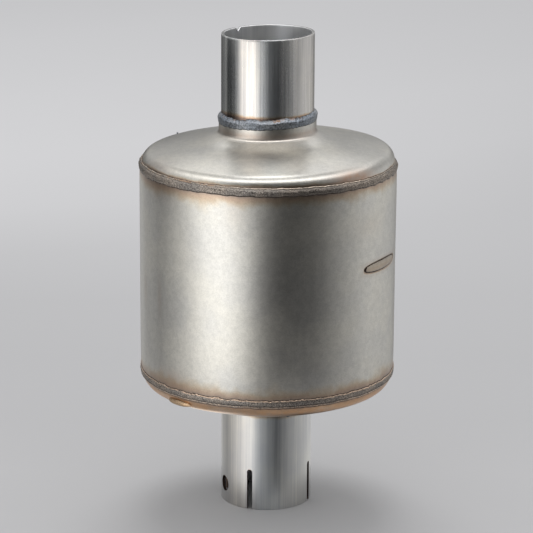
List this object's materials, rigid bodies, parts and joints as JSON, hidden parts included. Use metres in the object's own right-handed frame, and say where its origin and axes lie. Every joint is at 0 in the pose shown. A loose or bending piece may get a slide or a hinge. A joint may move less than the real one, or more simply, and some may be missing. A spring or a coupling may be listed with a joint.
{
  "type": "spark arrestor",
  "caption": "Welded cylindrical exhaust spark arrestor with domed end caps, a slotted inlet tube, a plain outlet tube, inner swirl vanes and a carbon trap.",
  "frame": {"origin": "middle of the inlet tube's rim, which the part stands on", "axes": "+Z along the tubes, from the inlet to the outlet; +X to the right and -Y towards the viewer of the picture"},
  "size_m": [0.1542, 0.1542, 0.2858],
  "materials": {
    "body_sheet": "satin aluminised sheet, mottled, straw and brown heat tint beside the welds",
    "tube_steel": "drawn tube with fine streaks along its length, brighter than the sheet",
    "weld_metal": "as-welded bead, grey-brown scale",
    "neck_weld_metal": "as-welded bead, blue-black scale",
    "inner_steel": "plain mill finish"
  },
  "bodies": {
    "root": {"shell": "body_sheet", "shell_seam_weld": "weld_metal", "outlet_cap": "body_sheet", "outlet_cap_weld": "weld_metal", "inlet_cap": "body_sheet", "inlet_cap_weld": "weld_metal", "outlet_tube": "tube_steel", "outlet_tube_weld": "neck_weld_metal", "inlet_tube": "tube_steel", "inlet_tube_weld": "neck_weld_metal", "swirl_sleeve": "inner_steel", "sleeve_weld": "weld_metal", "spinner_hub": "inner_steel", "vane_rim_welds": "weld_metal", "vane_hub_welds": "weld_metal", "trap_baffle": "inner_steel", "baffle_plug_welds": "weld_metal", "baffle_tube_weld": "weld_metal", "swirl_vane_1": "inner_steel", "swirl_vane_2": "inner_steel", "swirl_vane_3": "inner_steel", "swirl_vane_4": "inner_steel", "swirl_vane_5": "inner_steel", "swirl_vane_6": "inner_steel"}
  },
  "joints": []
}
